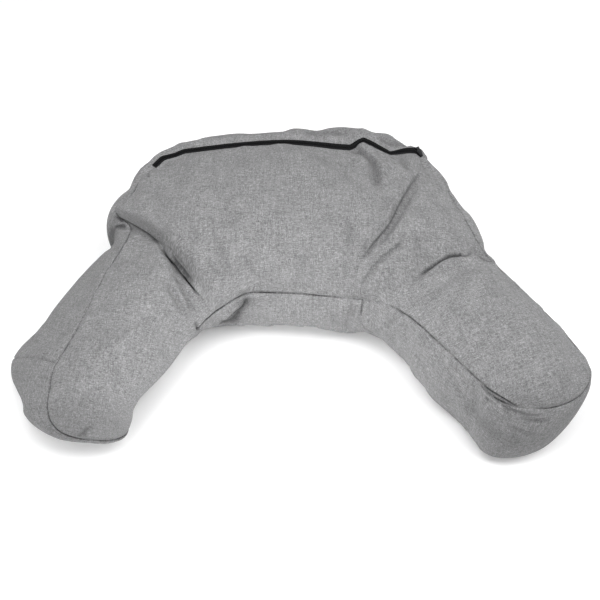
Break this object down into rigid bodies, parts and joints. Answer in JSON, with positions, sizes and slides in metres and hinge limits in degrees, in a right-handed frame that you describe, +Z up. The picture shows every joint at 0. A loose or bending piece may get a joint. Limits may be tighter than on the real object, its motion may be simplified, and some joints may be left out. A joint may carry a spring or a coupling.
{
  "type": "reading pillow with arms",
  "caption": "Filled back pillow with arms that curve round the lap, boxed all round, with a zip along its head.",
  "frame": {"origin": "middle of the bounding box in plan, on the surface that the pillow lies on", "axes": "+X along the pillow's width, from the left arm to the right arm as it is seen from the lap side, +Y from the lap side towards the head, +Z up out of the top panel"},
  "size_m": [0.8639, 0.5168, 0.2034],
  "materials": {
    "cover_cloth": "grey melange plain weave, matt",
    "zip_tape": "black herringbone tape, matt",
    "zip_coil": "black nylon coil, satin",
    "zip_slider": "black enamel, satin"
  },
  "bodies": {
    "root": {"cushion": "cover_cloth", "zip_tape_front": "zip_tape", "zip_tape_rear": "zip_tape", "zip_coil": "zip_coil", "zip_slider": "zip_slider", "zip_pull": "zip_slider"}
  },
  "joints": []
}
